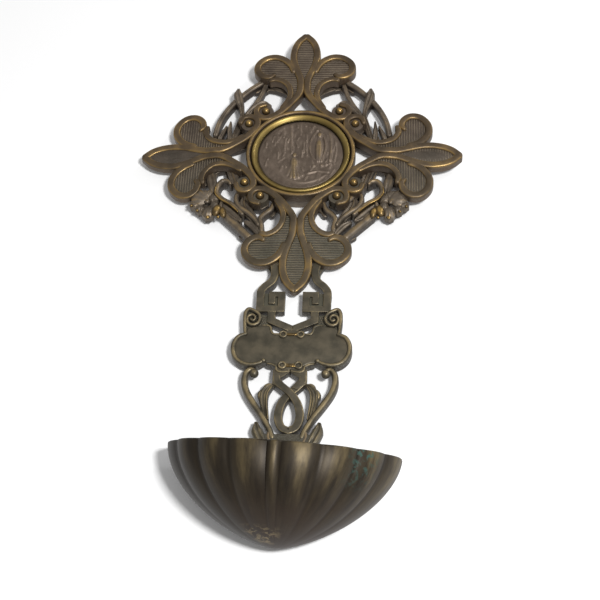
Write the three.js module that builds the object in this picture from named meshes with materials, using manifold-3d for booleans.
// Wall-hung holy water font in cast metal: a cross of four fleurs-de-lis with a relief medallion,
// riveted over an openwork casting of foliage and strapwork that carries a scallop shell basin.
// Millimetres, +Z up as hung. The wall is the plane y = 0 and the front faces -Y.
// Plan coordinates are (x, z); a level is the distance out from the wall, so y = -level.
import * as THREE from 'three';
import { mergeVertices } from 'three/addons/utils/BufferGeometryUtils.js';
import Module from 'manifold-3d';

const seatGap = 0.3; // air left between two pieces that touch

// Cross casting: levels at its centre, and how far the tips lean back to the wall
const crossFront = 9.0;
const crossBack = 4.5;
const infillDrop = 1.2; // hatched ground below the top of the border strands
const leanStart = 36;
const leanEnd = 62;
const leanFront = 3.4;
const leanBack = 1.9;
const leanShares = [0.5, 0, 1, 1]; // of that lean, by arm: right, top, left, bottom
const strandWidth = 3.1;
const frameOuter = 22.7;
const frameInner = 20.9;

// Medallion stack inside the frame
const seatRadius = frameInner - seatGap;
const seatLevel = 5.0;
const bezelOuter = 20.1;
const bezelInner = 17.3;
const bezelFront = 8.8;
const bezelLip = 1.1;
const plaqueRadius = 18.2;
const plaqueEdge = 1.5;

// Openwork casting
const rodFront = 5.8;
const rodBack = 1.6;
const tieFront = 3.3; // hidden bars under the cross
const tieBack = 0.8;
const lowTieFront = 2.3; // bars under the thin outer ends of the cross
const stemFront = 4.4;
const underCross = crossBack - seatGap;
const discRadius = 22.0;

// Volutes and the rivets in their eyes
const volute = new THREE.Vector2(22.3, 15.5); // along and across a fleur
const voluteRadius = 3.4;
const rivetShank = 1.0;
const rivetHead = 1.7;
const rivetHeight = 1.9;
const rivetTail = 1.6;
const rivetBore = rivetShank + seatGap;
const tailBore = rivetTail + seatGap;
const tailDepth = 1.3;

// Basin
const basinHalfWidth = 41.5;
const basinReach = 38.5;
const basinTop = -135.7;
const basinRimFall = 14.2; // the front lip hangs this much lower than the back corners
const basinDepth = 36.8;
const basinShift = -1.0; // its screw hole was drilled off centre
const basinWall = 2.2;
const ribHeight = 1.3;
const ribCentres = [0, 13, 32, 51.5, 75.75];
const ribWidths = [7, 19, 19, 20, 28.5];
const basinTilt = THREE.MathUtils.degToRad(3.9); // turned a little on its one screw
const footFront = 4.7;
const footTop = -127.4;
const footHalf = 9.5;
const basinBack = footFront + seatGap;
const screwDrop = 10.3;
const screwZ = basinTop - screwDrop;
const screwShank = 1.85;
const screwBore = screwShank + seatGap;
const screwHead = 3.6;
const nutFlats = 3.3; // centre to flat
const nutPocket = 4.2;
const nutDepth = 2.4;

// Ring and staple behind the top fleur
const hangerZ = 50;
const hangerLevel = 1.75;
const hangerWire = 0.65;
const hangerRadius = 6.0;
const stapleWidth = 2.4;
const stapleThick = 0.7;
const legSink = 0.8; // how far its legs are let into the casting
const stapleTop = crossBack + legSink;

const wasm = await Module();
wasm.setup();

// Closed mesh of a three.js geometry, turned outward if needed, as a solid for cutting and joining
function solid(geometry) {
  const bare = (geometry.index ? geometry.toNonIndexed() : geometry).clone();
  bare.deleteAttribute('normal');
  bare.deleteAttribute('uv');
  const merged = mergeVertices(bare, 1e-4);
  const p = merged.attributes.position.array;
  const source = merged.index.array;
  const faces = [];
  let volume = 0;
  for (let i = 0; i < source.length; i += 3) {
    const [a, b, c] = [source[i], source[i + 1], source[i + 2]];
    if (a === b || b === c || c === a) continue;
    faces.push(a, b, c);
    const va = new THREE.Vector3().fromArray(p, a * 3);
    const vb = new THREE.Vector3().fromArray(p, b * 3);
    const vc = new THREE.Vector3().fromArray(p, c * 3);
    volume += va.dot(vb.cross(vc));
  }
  if (volume < 0) {
    for (let i = 0; i < faces.length; i += 3) {
      [faces[i], faces[i + 1]] = [faces[i + 1], faces[i]];
    }
  }
  const mesh = new wasm.Mesh({
    numProp: 3,
    vertProperties: new Float32Array(p),
    triVerts: new Uint32Array(faces),
  });
  return new wasm.Manifold(mesh);
}

function join(solids) {
  return solids.reduce((total, next) => total.add(next));
}

function geometryOf(body) {
  const mesh = body.getMesh();
  const geometry = new THREE.BufferGeometry();
  const points = Float32Array.from(mesh.vertProperties);
  geometry.setAttribute('position', new THREE.BufferAttribute(points, 3));
  geometry.setIndex(new THREE.BufferAttribute(Uint32Array.from(mesh.triVerts), 1));
  return geometry;
}

// Joining leaves hairline edges and needle triangles: vertices closer than the reach become one,
// and a needle gives its long edge up to its neighbour
function clean(geometry, reach = 0.03, thin = 0.004) {
  const p = geometry.attributes.position;
  const at = (i) => new THREE.Vector3().fromBufferAttribute(p, i);
  const points = Array.from({ length: p.count }, (_, i) => at(i));
  const source = geometry.index.array;
  let faces = [];
  for (let i = 0; i < source.length; i += 3) faces.push([source[i], source[i + 1], source[i + 2]]);
  for (let pass = 0; pass < 6; pass += 1) {
    const home = points.map((_, i) => i);
    const find = (i) => (home[i] === i ? i : find(home[i]));
    for (const face of faces) {
      for (let k = 0; k < 3; k += 1) {
        const a = find(face[k]);
        const b = find(face[(k + 1) % 3]);
        if (a !== b && points[a].distanceTo(points[b]) < reach) home[Math.max(a, b)] = Math.min(a, b);
      }
    }
    const kept = new Map();
    for (const face of faces) {
      const [a, b, c] = face.map(find);
      if (a === b || b === c || c === a) continue;
      const key = [a, b, c].sort((x, y) => x - y).join();
      if (kept.has(key)) kept.delete(key);
      else kept.set(key, [a, b, c]);
    }
    faces = [...kept.values()];
    const owner = new Map();
    faces.forEach((face, index) => {
      for (let k = 0; k < 3; k += 1) owner.set(`${face[k]},${face[(k + 1) % 3]}`, [index, k]);
    });
    const done = new Set();
    faces.forEach((face, index) => {
      if (done.has(index)) return;
      const sides = [0, 1, 2].map((k) => points[face[k]].distanceTo(points[face[(k + 1) % 3]]));
      const k = sides.indexOf(Math.max(...sides));
      const [a, b, v] = [face[k], face[(k + 1) % 3], face[(k + 2) % 3]];
      const along = points[b].clone().sub(points[a]);
      const height = along.cross(points[v].clone().sub(points[a])).length() / sides[k];
      if (height > thin) return;
      const match = owner.get(`${b},${a}`);
      if (!match || done.has(match[0]) || match[0] === index) return;
      const w = faces[match[0]][(match[1] + 2) % 3];
      if (w === v || owner.has(`${w},${v}`) || owner.has(`${v},${w}`)) return;
      faces[index] = [a, w, v];
      faces[match[0]] = [w, b, v];
      for (const near of [index, match[0]]) done.add(near);
      for (const from of [a, b, v, w]) {
        for (const to of [a, b, v, w]) {
          const other = owner.get(`${from},${to}`);
          if (other) done.add(other[0]);
        }
      }
    });
  }
  const cleaned = new THREE.BufferGeometry();
  cleaned.setAttribute('position', p.clone());
  cleaned.setIndex(faces.flat());
  return geometryOf(solid(cleaned));
}

// From plan (x, z) and level to the hung frame
function stand(geometry) {
  return geometry.rotateX(Math.PI / 2);
}

function slab(outline, back, front, holes = []) {
  const points = outline.map(([x, z]) => new THREE.Vector2(x, z));
  if (THREE.ShapeUtils.isClockWise(points)) points.reverse();
  const shape = new THREE.Shape(points);
  for (const hole of holes) {
    shape.holes.push(new THREE.Path(hole.map(([x, z]) => new THREE.Vector2(x, z))));
  }
  const geometry = new THREE.ExtrudeGeometry(shape, { depth: front - back, bevelEnabled: false });
  return solid(stand(geometry.translate(0, 0, back)));
}

function smooth(points, count) {
  const knots = points.map(([x, z]) => new THREE.Vector3(x, z, 0));
  return new THREE.CatmullRomCurve3(knots, false, 'centripetal').getSpacedPoints(count);
}

// Bar with a rounded front that follows a plan curve, square to the wall on its sides.
// With no drop it is plain and square, for bars that the cross hides.
function strand(points, width, back, front, count, drop = 0.9) {
  const knots = points.map(([x, z]) => new THREE.Vector3(x, z, 0));
  const path = new THREE.CatmullRomCurve3(knots, false, 'centripetal');
  const half = width / 2;
  const crown = drop > 0 ? [
    new THREE.Vector2(drop - front, half),
    new THREE.Vector2(-front, half * 0.45),
    new THREE.Vector2(-front, -half * 0.45),
    new THREE.Vector2(drop - front, -half),
  ] : [new THREE.Vector2(-front, half), new THREE.Vector2(-front, -half)];
  const section = new THREE.Shape([
    new THREE.Vector2(-back, -half),
    new THREE.Vector2(-back, half),
    ...crown,
  ]);
  const geometry = new THREE.ExtrudeGeometry(section, { steps: count, extrudePath: path });
  return solid(stand(geometry));
}

// Upright post with a chamfered front, for the ends of strands and small bosses
function post(x, z, radius, back, front, drop = 0.9, sides = 10) {
  const profile = [
    new THREE.Vector2(0, -back),
    new THREE.Vector2(radius, -back),
    new THREE.Vector2(radius, drop - front),
    new THREE.Vector2(radius * 0.45, -front),
    new THREE.Vector2(0, -front),
  ];
  return solid(new THREE.LatheGeometry(profile, sides).translate(x, 0, z));
}

function bore(x, z, radius, back, front, sides = 16) {
  const geometry = new THREE.CylinderGeometry(radius, radius, front - back, sides);
  return solid(geometry.translate(x, -(front + back) / 2, z));
}

function egg(x, z, level, rx, rz, ry, turn = 0) {
  const geometry = new THREE.SphereGeometry(1, 7, 4);
  geometry.rotateX(Math.PI / 2).scale(rx, ry, rz).rotateY(THREE.MathUtils.degToRad(turn));
  return solid(geometry.translate(x, -level, z));
}

// One half of a fleur, as (along the arm, across it)
const mainStrand = [
  [25.9, 16.0], [24.7, 18.8], [21.6, 19.5], [19.0, 17.6], [18.9, 14.0], [20.8, 10.8],
  [24.0, 7.5], [28.0, 4.5], [31.0, 2.5], [33.4, 1.55], [36.5, 1.45], [39.8, 1.6],
  [44.3, 3.0], [48.6, 4.4], [53.3, 5.1], [58.0, 4.6], [62.0, 3.0], [65.3, 0.3],
];
const lobeStrand = [
  [45.2, 4.6], [48.0, 5.8], [51.2, 8.6], [53.0, 12.5], [52.3, 16.8],
  [49.0, 20.1], [45.2, 20.3], [42.4, 18.0], [41.7, 15.0], [42.9, 13.1],
];
const innerStrand = [
  [24.4, 8.6], [29.0, 6.2], [32.5, 5.6], [36.4, 6.5], [39.2, 9.0], [40.4, 12.3], [39.9, 14.3],
];
const rivetPad = [[12, 17], [12.2, 24.2], [15.2, 26.2], [18.6, 25.6], [25.6, 18.6], [26.2, 15.2],
  [24.2, 12.2], [17, 12]];
const tieLine = [[19.0, 10.5], [24.5, 7.2], [29.0, 5.4], [33.0, 4.9], [36.8, 7.2], [39.6, 12.5]];

// Turns (along, across) to the plan for arm 0 right, 1 up, 2 left, 3 down, on one side of the arm
function placeHalf(points, arm, side) {
  const angle = (arm * Math.PI) / 2;
  const cos = Math.round(Math.cos(angle));
  const sin = Math.round(Math.sin(angle));
  return points.map(([along, across]) => {
    const over = across * side;
    return [along * cos - over * sin, along * sin + over * cos];
  });
}

function crossLean(x, z) {
  const distance = Math.hypot(x, z) || 1;
  const reach = (distance - leanStart) / (leanEnd - leanStart);
  const share = [x, z, -x, -z].reduce((sum, part, arm) => (
    sum + leanShares[arm] * (Math.max(part, 0) / distance) ** 2), 0);
  return share * Math.sin((Math.min(Math.max(reach, 0), 1) * Math.PI) / 2);
}

// Leans the flat cross back towards the wall at its ends, the front more than the back
function leanGeometry(geometry) {
  const p = geometry.attributes.position;
  for (let i = 0; i < p.count; i += 1) {
    const level = -p.getY(i);
    const share = (level - crossBack) / (crossFront - crossBack);
    const lean = crossLean(p.getX(i), p.getZ(i));
    p.setY(i, -(level - lean * (leanBack + (leanFront - leanBack) * share)));
  }
  return geometry;
}

function fleurHalf(arm, side) {
  const ground = crossFront - infillDrop;
  const main = placeHalf(mainStrand, arm, side);
  const lobe = placeHalf(lobeStrand, arm, side);
  const inner = placeHalf(innerStrand, arm, side);
  const [eye] = placeHalf([[volute.x, volute.y]], arm, side);
  const petalEdge = smooth(mainStrand.slice(10), 6).map((p) => [p.x, p.y]);
  const petal = placeHalf([...petalEdge, [65.3, -0.2], [36.5, -0.2]], arm, side);
  const lobeEdge = [
    ...smooth(mainStrand.slice(8, 14), 4).map((p) => [p.x, p.y]),
    ...smooth(lobeStrand.slice(1), 9).map((p) => [p.x, p.y]),
    ...smooth(innerStrand.slice(2), 4).map((p) => [p.x, p.y]).reverse(),
  ];
  const lobeEnd = lobe[lobe.length - 1];
  const innerEnd = inner[inner.length - 1];
  return join([
    strand(main, strandWidth, crossBack, crossFront, 24),
    strand(lobe, strandWidth, crossBack, crossFront, 12),
    strand(inner, 2.5, crossBack, crossFront - 0.2, 7),
    slab(petal, crossBack, ground),
    slab(placeHalf(lobeEdge, arm, side), crossBack, ground),
    post(lobeEnd[0], lobeEnd[1], 1.5, crossBack, crossFront, 0.9, 7),
    post(innerEnd[0], innerEnd[1], 1.2, crossBack, crossFront - 0.2, 0.9, 6),
    bore(eye[0], eye[1], voluteRadius, crossBack, ground, 10),
  ]);
}

function rivetSpots() {
  const spots = [];
  for (let arm = 0; arm < 4; arm += 1) {
    for (const side of [-1, 1]) spots.push(placeHalf([[volute.x, volute.y]], arm, side)[0]);
  }
  return spots;
}

function crossBody() {
  const frameProfile = [
    new THREE.Vector2(frameInner, -crossBack),
    new THREE.Vector2(frameOuter, -crossBack),
    new THREE.Vector2(frameOuter, 0.6 - crossFront),
    new THREE.Vector2(frameOuter - 0.5, -crossFront),
    new THREE.Vector2(frameInner + 0.5, -crossFront),
    new THREE.Vector2(frameInner, 0.6 - crossFront),
    new THREE.Vector2(frameInner, -crossBack),
  ];
  const pieces = [solid(new THREE.LatheGeometry(frameProfile, 40))];
  for (let arm = 0; arm < 4; arm += 1) {
    pieces.push(fleurHalf(arm, -1), fleurHalf(arm, 1));
    const [tip] = placeHalf([[65.1, 0]], arm, 1);
    pieces.push(post(tip[0], tip[1], 1.7, crossBack, crossFront, 0.9, 8));
  }
  let body = join(pieces);
  for (const [x, z] of rivetSpots()) {
    body = body.subtract(bore(x, z, rivetBore, crossBack - 1, crossFront + 1, 8));
  }
  const leaned = solid(leanGeometry(geometryOf(body)));
  // Two blind slots behind the top fleur take the legs of the staple
  const legInner = hangerWire + seatGap + 0.1;
  const slotHalf = stapleWidth / 2 + seatGap;
  const slots = [-1, 1].map((side) => {
    const middle = hangerZ + side * (legInner + stapleThick / 2);
    const low = middle - stapleThick / 2 - seatGap;
    const high = middle + stapleThick / 2 + seatGap;
    const square = [[-slotHalf, low], [slotHalf, low], [slotHalf, high], [-slotHalf, high]];
    return slab(square, 1, stapleTop + seatGap);
  });
  return leaned.subtract(slots[0]).subtract(slots[1]);
}

function both(make) {
  return [make(1), make(-1)];
}

function flip(points, side) {
  return points.map(([x, z]) => [x * side, z]);
}

function upperFoliage(side) {
  const rod = (points, width, count, front = rodFront) => strand(flip(points, side), width,
    rodBack, front, count);
  return join([
    rod([[36.6, 13.4], [34.4, 19.0], [31.6, 24.8], [28.0, 30.4], [24.0, 35.6], [20.2, 39.6]],
      2.7, 5),
    rod([[28.3, 35.3], [28.2, 31.0], [27.0, 25.5], [27.4, 21.6], [29.0, 17.4], [29.6, 10.4]],
      2.6, 6, rodFront + 0.5),
    rod([[17.2, 39.6], [18.6, 34.6], [20.8, 29.2], [23.6, 24.0], [26.2, 18.2], [28.6, 10.6]],
      2.7, 5, underCross),
    rod([[17.6, 29.6], [20.9, 27.5], [24.0, 24.2]], 2.6, 3),
    rod([[30.8, 17.2], [31.2, 13.6], [31.0, 10.2]], 2.6, 2),
    egg(28.3 * side, 33.4, 4.9, 2.1, 3.6, 1.6, 4 * side),
  ]);
}

function lowerFoliage(side) {
  const rod = (points, width, count, front = rodFront) => strand(flip(points, side), width,
    rodBack, front, count);
  const petal = (x, z, level, rx, rz, ry, turn) => egg(x * side, z, level, rx, rz, ry, turn * side);
  return join([
    rod([[28.6, -8.6], [26.6, -12.4], [25.2, -16.6], [24.0, -20.6]], 3.6, 3, underCross),
    rod([[24.2, -22.4], [24.0, -24.6], [22.0, -28.0], [18.8, -32.0], [15.8, -36.4]], 4.0, 6),
    rod([[28.4, -15.4], [30.6, -14.2], [33.0, -16.2], [32.6, -20.0], [29.0, -23.4],
      [25.4, -27.4], [23.6, -30.6]], 2.5, 11, rodFront + 0.5),
    rod([[36.4, -10.6], [36.4, -14.4], [34.8, -18.6], [33.4, -22.8]], 3.0, 3),
    rod([[30.0, -31.8], [25.4, -35.8], [21.4, -39.2]], 3.2, 2),
    rod([[20.4, -34.0], [17.6, -36.2], [16.0, -38.0]], 3.0, 2),
    rod([[10.4, -26.8], [11.2, -29.2], [13.2, -31.2], [14.4, -34.0], [14.6, -37.2]], 2.3, 6),
    petal(38.4, -21.4, 5.2, 2.9, 3.0, 2.2, 20),
    petal(36.0, -23.2, 5.4, 2.6, 3.0, 2.2, -20),
    petal(41.2, -23.2, 4.8, 2.8, 2.6, 2.0, 0),
    petal(37.6, -25.2, 4.6, 2.8, 2.4, 2.0, 30),
    petal(36.8, -28.4, 4.6, 2.4, 3.4, 2.0, -30),
    petal(34.2, -27.4, 4.8, 2.6, 3.2, 2.0, 0),
    petal(31.6, -28.4, 5.0, 2.2, 4.2, 2.2, 15),
  ]);
}

function keyBlock(side) {
  const outline = [[3.4, -65.8], [11.0, -65.8], [11.0, -66.4], [11.3, -66.6], [11.3, -72.0],
    [11.6, -72.0], [11.6, -65.4], [14.5, -65.4], [14.5, -75.0], [3.4, -75.0]];
  const slot = [[6.5, -68.2], [7.7, -68.2], [7.7, -72.2], [6.5, -72.2]];
  return slab(flip(outline, side), 1.0, stemFront, [flip(slot, side)]);
}

function stemBody() {
  const stemBack = 1.0;
  const strap = (points, width, count, front = stemFront, back = stemBack) => strand(points,
    width, back, front, count, 0.6);
  const pieces = [];
  for (const side of [1, -1]) {
    pieces.push(strap(flip([[12.6, -40.0], [12.4, -46.0], [10.6, -51.4]], side), 3.4, 3,
      lowTieFront, 0));
    pieces.push(strap(flip([[10.6, -51.4], [8.4, -55.6], [8.8, -60.4], [12.9, -64.8],
      [12.95, -68.0]], side), 3.1, 5, lowTieFront, 0));
    pieces.push(strap(flip([[8.0, -57.6], [8.8, -60.6], [12.9, -64.8], [12.95, -68.0]], side),
      3.1, 6));
    pieces.push(keyBlock(side));
    pieces.push(slab(flip([[7.0, -74.5], [10.2, -74.5], [10.2, -79.6], [0, -84.2], [0, -81.2],
      [7.0, -77.8]], side), stemBack, stemFront));
    pieces.push(slab(flip([[9.0, -77.0], [14.6, -75.6], [18.0, -74.0], [18.6, -84.0],
      [9.0, -85.6]], side), stemBack, stemFront - 1.0));
    pieces.push(strap(flip([[15.2, -80.4], [13.8, -78.2], [15.4, -75.8], [17.6, -76.4],
      [18.6, -80.6], [18.3, -85.6]], side), 2.0, 9, stemFront + 0.8));
    pieces.push(strap(flip([[17.8, -85.4], [21.4, -87.6], [22.2, -91.4], [21.0, -95.4],
      [17.4, -98.4], [13.6, -98.4], [10.4, -97.0]], side), 2.0, 9, stemFront + 1.0));
    pieces.push(egg(10.2 * side, -97.0, stemFront, 1.5, 1.5, 1.6));
    pieces.push(bore(3.1 * side, -85.2, 1.9, stemBack, stemFront + 0.6, 8));
    pieces.push(bore(3.1 * side, -98.7, 2.1, stemBack, stemFront + 0.8, 8));
    pieces.push(slab(flip([[0, -99.4], [4.4, -99.6], [7.0, -101.2], [7.0, -106.2], [1.6, -109.6],
      [-0.8, -109.6], [0, -107.2], [3.9, -104.2], [0, -101.8]], side), stemBack, stemFront));
    pieces.push(strap(flip([[-1.6, -106.4], [0.6, -109.0], [3.0, -112.4], [4.5, -116.4],
      [4.6, -120.6], [3.0, -124.6], [-0.4, -126.5]], side), 2.9, 9));
    pieces.push(strap(flip([[6.0, -106.4], [8.6, -108.6], [10.0, -112.0], [9.4, -116.2],
      [7.6, -120.4]], side), 2.2, 6));
    pieces.push(egg(10.0 * side, -110.2, 3.2, 1.9, 2.4, 1.6, 20 * side));
    pieces.push(strap(flip([[12.0, -103.4], [12.0, -100.8], [14.2, -99.8], [16.0, -102.4],
      [15.7, -106.8], [13.4, -112.0], [9.8, -118.0], [6.8, -123.4], [5.2, -128.4]], side),
      2.6, 12));
    pieces.push(egg(13.0 * side, -102.4, stemFront - 0.4, 1.9, 1.9, 1.9));
    pieces.push(egg(9.8 * side, -127.2, 3.4, 2.4, 4.4, 1.7, 28 * side));
  }
  pieces.push(slab([[-17.0, -84.4], [17.0, -84.4], [21.4, -87.4], [22.4, -91.5], [21.0, -96.0],
    [17.0, -98.6], [12.0, -98.0], [6.0, -98.6], [4.0, -100.4], [-4.0, -100.4], [-6.0, -98.6],
    [-12.0, -98.0], [-17.0, -98.6], [-21.0, -96.0], [-22.4, -91.5], [-21.4, -87.4]],
  stemBack, stemFront - 0.5));
  pieces.push(slab([[-4.0, -84.2], [4.0, -84.2], [4.0, -86.2], [-4.0, -86.2]], stemBack,
    stemFront + 0.3));
  // Foot tongue behind the basin
  pieces.push(slab([[-footHalf, footTop], [footHalf, footTop], [footHalf, screwZ - 4],
    [5.0, screwZ - 8], [-5.0, screwZ - 8], [-footHalf, screwZ - 4]], 0, footFront));
  let body = join(pieces);
  for (const side of [1, -1]) {
    body = body.subtract(bore(3.1 * side, -85.2, 0.8, -1, 8, 6));
    body = body.subtract(bore(3.1 * side, -98.7, 0.9, -1, 8, 6));
  }
  const loopHole = smooth([[0, -112.4], [2.2, -116.0], [2.4, -120.6], [0.8, -124.2],
    [-0.8, -124.2], [-2.4, -120.6], [-2.2, -116.0], [0, -112.4]], 12).map((p) => [p.x, p.y]);
  body = body.subtract(slab(loopHole.slice(0, -1), -1, 8));
  body = body.subtract(bore(0, screwZ, screwBore, -1, 8, 12));
  return body.subtract(bore(0, screwZ, nutPocket, -1, nutDepth, 16));
}

function plateBody() {
  const seat = bore(0, 0, seatRadius, 0, seatLevel, 32);
  const disc = bore(0, 0, discRadius, 0, underCross, 32);
  const pieces = [disc, seat, stemBody()];
  for (let arm = 0; arm < 4; arm += 1) {
    for (const side of [-1, 1]) {
      pieces.push(strand(placeHalf(tieLine, arm, side), 2.4, tieBack, tieFront, 5, 0));
    }
    pieces.push(slab(placeHalf(rivetPad, arm, 1), 0, underCross));
  }
  pieces.push(...both(upperFoliage), ...both(lowerFoliage));
  for (const side of [1, -1]) {
    // Hidden bars that carry the foliage in under the fleurs
    const bar = (points, width, front = lowTieFront + 0.6) => strand(flip(points, side), width,
      tieBack, front, 2, 0);
    pieces.push(bar([[30.0, 11.6], [30.4, 8.4], [31.0, 5.4]], 5.0));
    pieces.push(bar([[36.2, 14.4], [37.2, 10.6], [37.8, 8.0]], 2.6));
    pieces.push(bar([[21.0, 38.6], [18.0, 40.4], [13.2, 40.6]], 2.6));
    pieces.push(bar([[17.4, 38.6], [15.6, 40.0], [12.4, 39.6]], 2.6));
    pieces.push(bar([[29.0, -9.4], [29.8, -7.0], [30.4, -5.0]], 2.8));
    pieces.push(bar([[36.4, -11.6], [36.2, -8.6], [35.6, -6.4]], 2.6));
    pieces.push(bar([[22.4, -38.4], [17.6, -41.2], [12.4, -41.6]], 2.6));
    pieces.push(bar([[16.4, -36.2], [15.2, -38.4], [12.6, -40.0]], 3.4));
    pieces.push(bar([[10.8, -27.6], [9.4, -25.4], [7.6, -24.0]], 2.2));
  }
  let body = join(pieces);
  for (const [x, z] of rivetSpots()) {
    body = body.subtract(bore(x, z, rivetBore, -1, seatLevel + 3, 8));
    body = body.subtract(bore(x, z, tailBore, -1, tailDepth, 8));
  }
  return body;
}

// The basin is drawn about its own screw axis so that it can be turned on it
function shellSolid(halfWidth, reach, depth, top, back, ribs) {
  const columns = [];
  for (let k = -4; k <= 4; k += 1) {
    const centre = Math.sign(k) * ribCentres[Math.abs(k)];
    const width = ribWidths[Math.abs(k)];
    const last = k === 4 ? 4 : 3;
    for (let i = 0; i <= last; i += 1) {
      const bulge = Math.abs(Math.sin((i / 4) * Math.PI));
      columns.push([centre - width / 2 + (width * i) / 4, bulge]);
    }
  }
  const rows = 8;
  const positions = [0, -back, top - depth];
  for (let j = 1; j <= rows; j += 1) {
    const s = j / rows;
    const spread = Math.sin((s * Math.PI) / 2) ** 1.32;
    const fall = Math.sin(((1 - s) * Math.PI) / 2) ** 1.16;
    columns.forEach(([degrees, bulge]) => {
      const angle = THREE.MathUtils.degToRad(degrees);
      const swell = (ribs * (bulge - 0.6) * spread) / reach;
      const edge = Math.abs(degrees) > 89.9 ? 1 : 1 + swell;
      const out = reach * Math.abs(Math.cos(angle)) * spread * edge;
      const level = Math.abs(degrees) > 89.9 ? 0 : out;
      const drop = (basinRimFall * level) / reach;
      positions.push(halfWidth * Math.sin(angle) * spread * edge, -(back + level),
        top - drop - depth * fall);
    });
  }
  const n = columns.length;
  const at = (i, j) => 1 + (j - 1) * n + i;
  const faces = [];
  for (let i = 0; i < n - 1; i += 1) faces.push(0, at(i, 1), at(i + 1, 1));
  faces.push(0, at(n - 1, 1), at(0, 1));
  for (let j = 1; j < rows; j += 1) {
    for (let i = 0; i < n - 1; i += 1) {
      faces.push(at(i, j), at(i, j + 1), at(i + 1, j));
      faces.push(at(i + 1, j), at(i, j + 1), at(i + 1, j + 1));
    }
    faces.push(at(n - 1, j), at(n - 1, j + 1), at(0, j));
    faces.push(at(0, j), at(n - 1, j + 1), at(0, j + 1));
  }
  const middle = positions.length / 3;
  positions.push(0, -(back + reach * 0.3), top - basinRimFall * 0.3);
  for (let i = 0; i < n - 1; i += 1) faces.push(middle, at(i + 1, rows), at(i, rows));
  faces.push(middle, at(0, rows), at(n - 1, rows));
  const geometry = new THREE.BufferGeometry();
  geometry.setAttribute('position', new THREE.Float32BufferAttribute(positions, 3));
  geometry.setIndex(faces);
  return geometry.translate(basinShift, 0, -screwZ);
}

function basinBody() {
  const outer = solid(shellSolid(basinHalfWidth, basinReach, basinDepth, basinTop, basinBack,
    ribHeight));
  const inner = shellSolid(basinHalfWidth - basinWall, basinReach - 2 * basinWall,
    basinDepth - 1.6 * basinWall, basinTop + 0.4, basinBack + basinWall, ribHeight);
  const lidFall = basinRimFall / basinReach;
  const lid = slab([[-basinHalfWidth + 3, 0], [basinHalfWidth - 3, 0],
    [basinHalfWidth * 0.5, 3], [-basinHalfWidth * 0.5, 3]], basinBack + basinWall + 0.2,
  basinBack + basinReach * 0.5);
  const sheared = geometryOf(lid);
  const p = sheared.attributes.position;
  for (let i = 0; i < p.count; i += 1) {
    const z = p.getZ(i) + basinTop - screwZ + lidFall * (p.getY(i) + basinBack);
    p.setXYZ(i, p.getX(i) + basinShift, p.getY(i), z);
  }
  const hollow = solid(inner).add(solid(sheared));
  const hole = bore(0, 0, screwBore, basinBack - 1, basinBack + basinWall + 1, 20);
  return outer.subtract(hollow).subtract(hole);
}

function plaqueBody() {
  const base = bore(0, 0, plaqueRadius, seatLevel + seatGap, seatLevel + seatGap + plaqueEdge, 32);
  const top = seatLevel + seatGap + plaqueEdge;
  const dish = bore(0, 0, bezelInner - seatGap, top - 0.5, top + 0.3, 32);
  const level = top + 0.4;
  return join([
    base,
    dish,
    // Standing veiled figure in a niche, on the right
    egg(6.6, 7.2, level, 1.5, 1.8, 1.1),
    egg(6.6, 0.6, level, 2.4, 6.2, 1.1),
    strand([[2.6, -6.0], [2.2, 3.0], [3.6, 9.8], [6.8, 11.8], [10.0, 9.4], [11.0, 3.0],
      [10.4, -5.0]], 1.3, top - 0.2, top + 1.0, 9, 0.4),
    // Kneeling figure looking up, in the middle
    egg(-1.6, 1.2, level, 1.3, 1.5, 1.0),
    egg(-2.2, -3.6, level, 2.1, 4.2, 1.1, -8),
    egg(-3.2, -8.4, level, 3.6, 2.0, 1.1),
    // Rocks on the left and below
    strand([[-12.6, -8.0], [-12.8, 0.0], [-11.0, 9.0]], 2.2, top - 0.2, top + 0.9, 4, 0.5),
    strand([[-8.6, -9.0], [-8.6, 1.0], [-7.2, 11.6]], 2.0, top - 0.2, top + 0.8, 4, 0.5),
    strand([[-9.0, -11.4], [0.0, -12.6], [9.0, -10.6]], 2.2, top - 0.2, top + 0.8, 4, 0.5),
  ]);
}

function lathed(pairs, sides) {
  const profile = pairs.map(([radius, level]) => new THREE.Vector2(radius, -level));
  return solid(new THREE.LatheGeometry(profile, sides));
}

function bezelBody() {
  const back = seatLevel + seatGap;
  const shelf = back + plaqueEdge + seatGap;
  const wide = plaqueRadius + seatGap;
  return lathed([[wide, back], [bezelOuter, back], [bezelOuter, bezelFront - bezelLip],
    [bezelOuter - 0.8, bezelFront], [bezelInner + 0.8, bezelFront],
    [bezelInner, bezelFront - bezelLip], [bezelInner, shelf], [wide, shelf], [wide, back]], 40);
}

function rivetBody() {
  const seat = crossFront - infillDrop + seatGap;
  const tailTop = tailDepth - seatGap;
  return lathed([[0, 0.2], [rivetTail, 0.2], [rivetTail, tailTop], [rivetShank, tailTop],
    [rivetShank, seat], [rivetHead, seat], [rivetHead * 0.92, seat + rivetHeight * 0.45],
    [rivetHead * 0.6, seat + rivetHeight * 0.85], [0, seat + rivetHeight]], 8);
}

function screwBody() {
  const seat = basinBack + basinWall + seatGap;
  const body = lathed([[0, 0.4], [screwShank, 0.4], [screwShank, seat], [screwHead, seat],
    [screwHead, seat + 0.9], [screwHead * 0.7, seat + 2.0], [0, seat + 2.3]], 24);
  const slot = slab([[-5, -0.5], [5, -0.5], [5, 0.5], [-5, 0.5]], seat + 1.2, seat + 4);
  return body.subtract(slot);
}

function nutBody() {
  const half = nutFlats;
  const square = [[-half * 0.85, -half * 0.85], [half * 0.85, -half * 0.85],
    [half * 0.85, half * 0.85], [-half * 0.85, half * 0.85]];
  const block = slab(square, 0.2, nutDepth - seatGap);
  return block.subtract(bore(0, 0, screwBore, -1, nutDepth + 1, 20));
}

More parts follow.
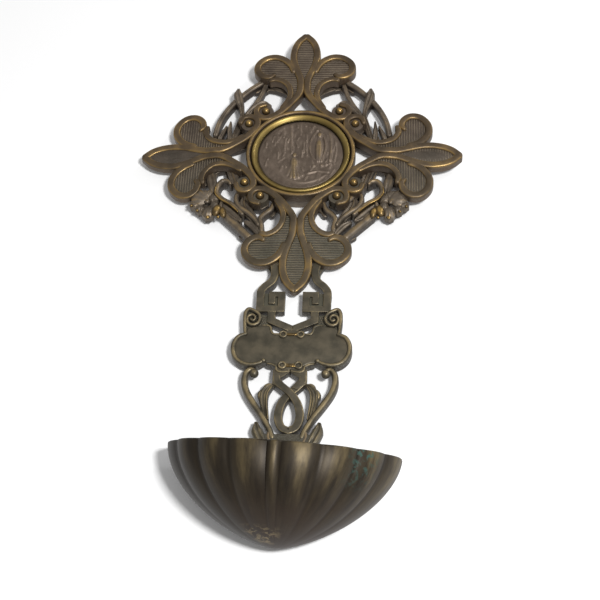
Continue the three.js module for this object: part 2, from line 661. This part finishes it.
function stapleBody() {
  const inner = hangerWire + seatGap + 0.1;
  const outer = inner + stapleThick;
  const bridge = hangerLevel - hangerWire - seatGap;
  const shape = new THREE.Shape([
    new THREE.Vector2(bridge - stapleThick, -outer),
    new THREE.Vector2(stapleTop, -outer),
    new THREE.Vector2(stapleTop, -inner),
    new THREE.Vector2(bridge, -inner),
    new THREE.Vector2(bridge, inner),
    new THREE.Vector2(stapleTop, inner),
    new THREE.Vector2(stapleTop, outer),
    new THREE.Vector2(bridge - stapleThick, outer),
  ]);
  const options = { depth: stapleWidth, bevelEnabled: false };
  const geometry = new THREE.ExtrudeGeometry(shape, options);
  geometry.translate(0, 0, -stapleWidth / 2);
  // Shape x becomes the level (towards -Y), shape y stays up
  geometry.applyMatrix4(new THREE.Matrix4().set(0, 0, 1, 0, -1, 0, 0, 0, 0, 1, 0, 0, 0, 0, 0, 1));
  return solid(geometry);
}

function ringBody() {
  const geometry = new THREE.TorusGeometry(hangerRadius, hangerWire, 8, 24);
  geometry.rotateX(Math.PI / 2).translate(0, 0, -hangerRadius);
  return solid(geometry);
}

function piece(name, body, colour, roughness, place = [0, 0, 0], turn = 0) {
  const geometry = clean(geometryOf(body));
  geometry.computeVertexNormals();
  const material = new THREE.MeshStandardMaterial({ color: colour, roughness, metalness: 1 });
  const mesh = new THREE.Mesh(geometry, material);
  mesh.name = name;
  mesh.position.set(...place);
  mesh.rotation.y = turn;
  return mesh;
}

const font = new THREE.Group();
font.name = 'holy_water_font';
font.add(piece('openwork_plate', plateBody(), '#5d564a', 0.55));
font.add(piece('cross_front', crossBody(), '#6f5836', 0.45));
font.add(piece('medallion_plaque', plaqueBody(), '#62574a', 0.5));
font.add(piece('bezel_ring', bezelBody(), '#a88a3c', 0.35));
rivetSpots().forEach(([x, z], index) => {
  font.add(piece(`volute_rivet_${index + 1}`, rivetBody(), '#a98443', 0.35, [x, 0, z]));
});
font.add(piece('shell_basin', basinBody(), '#4a4438', 0.5, [0, 0, screwZ], basinTilt));
font.add(piece('basin_screw', screwBody(), '#8c7440', 0.4, [0, 0, screwZ]));
font.add(piece('basin_nut', nutBody(), '#6d6456', 0.5, [0, 0, screwZ]));
font.add(piece('hanger_staple', stapleBody(), '#6d6456', 0.5, [0, 0, hangerZ]));
font.add(piece('hanger_ring', ringBody(), '#7d6c4a', 0.45, [0, -hangerLevel, hangerZ]));

export default font;
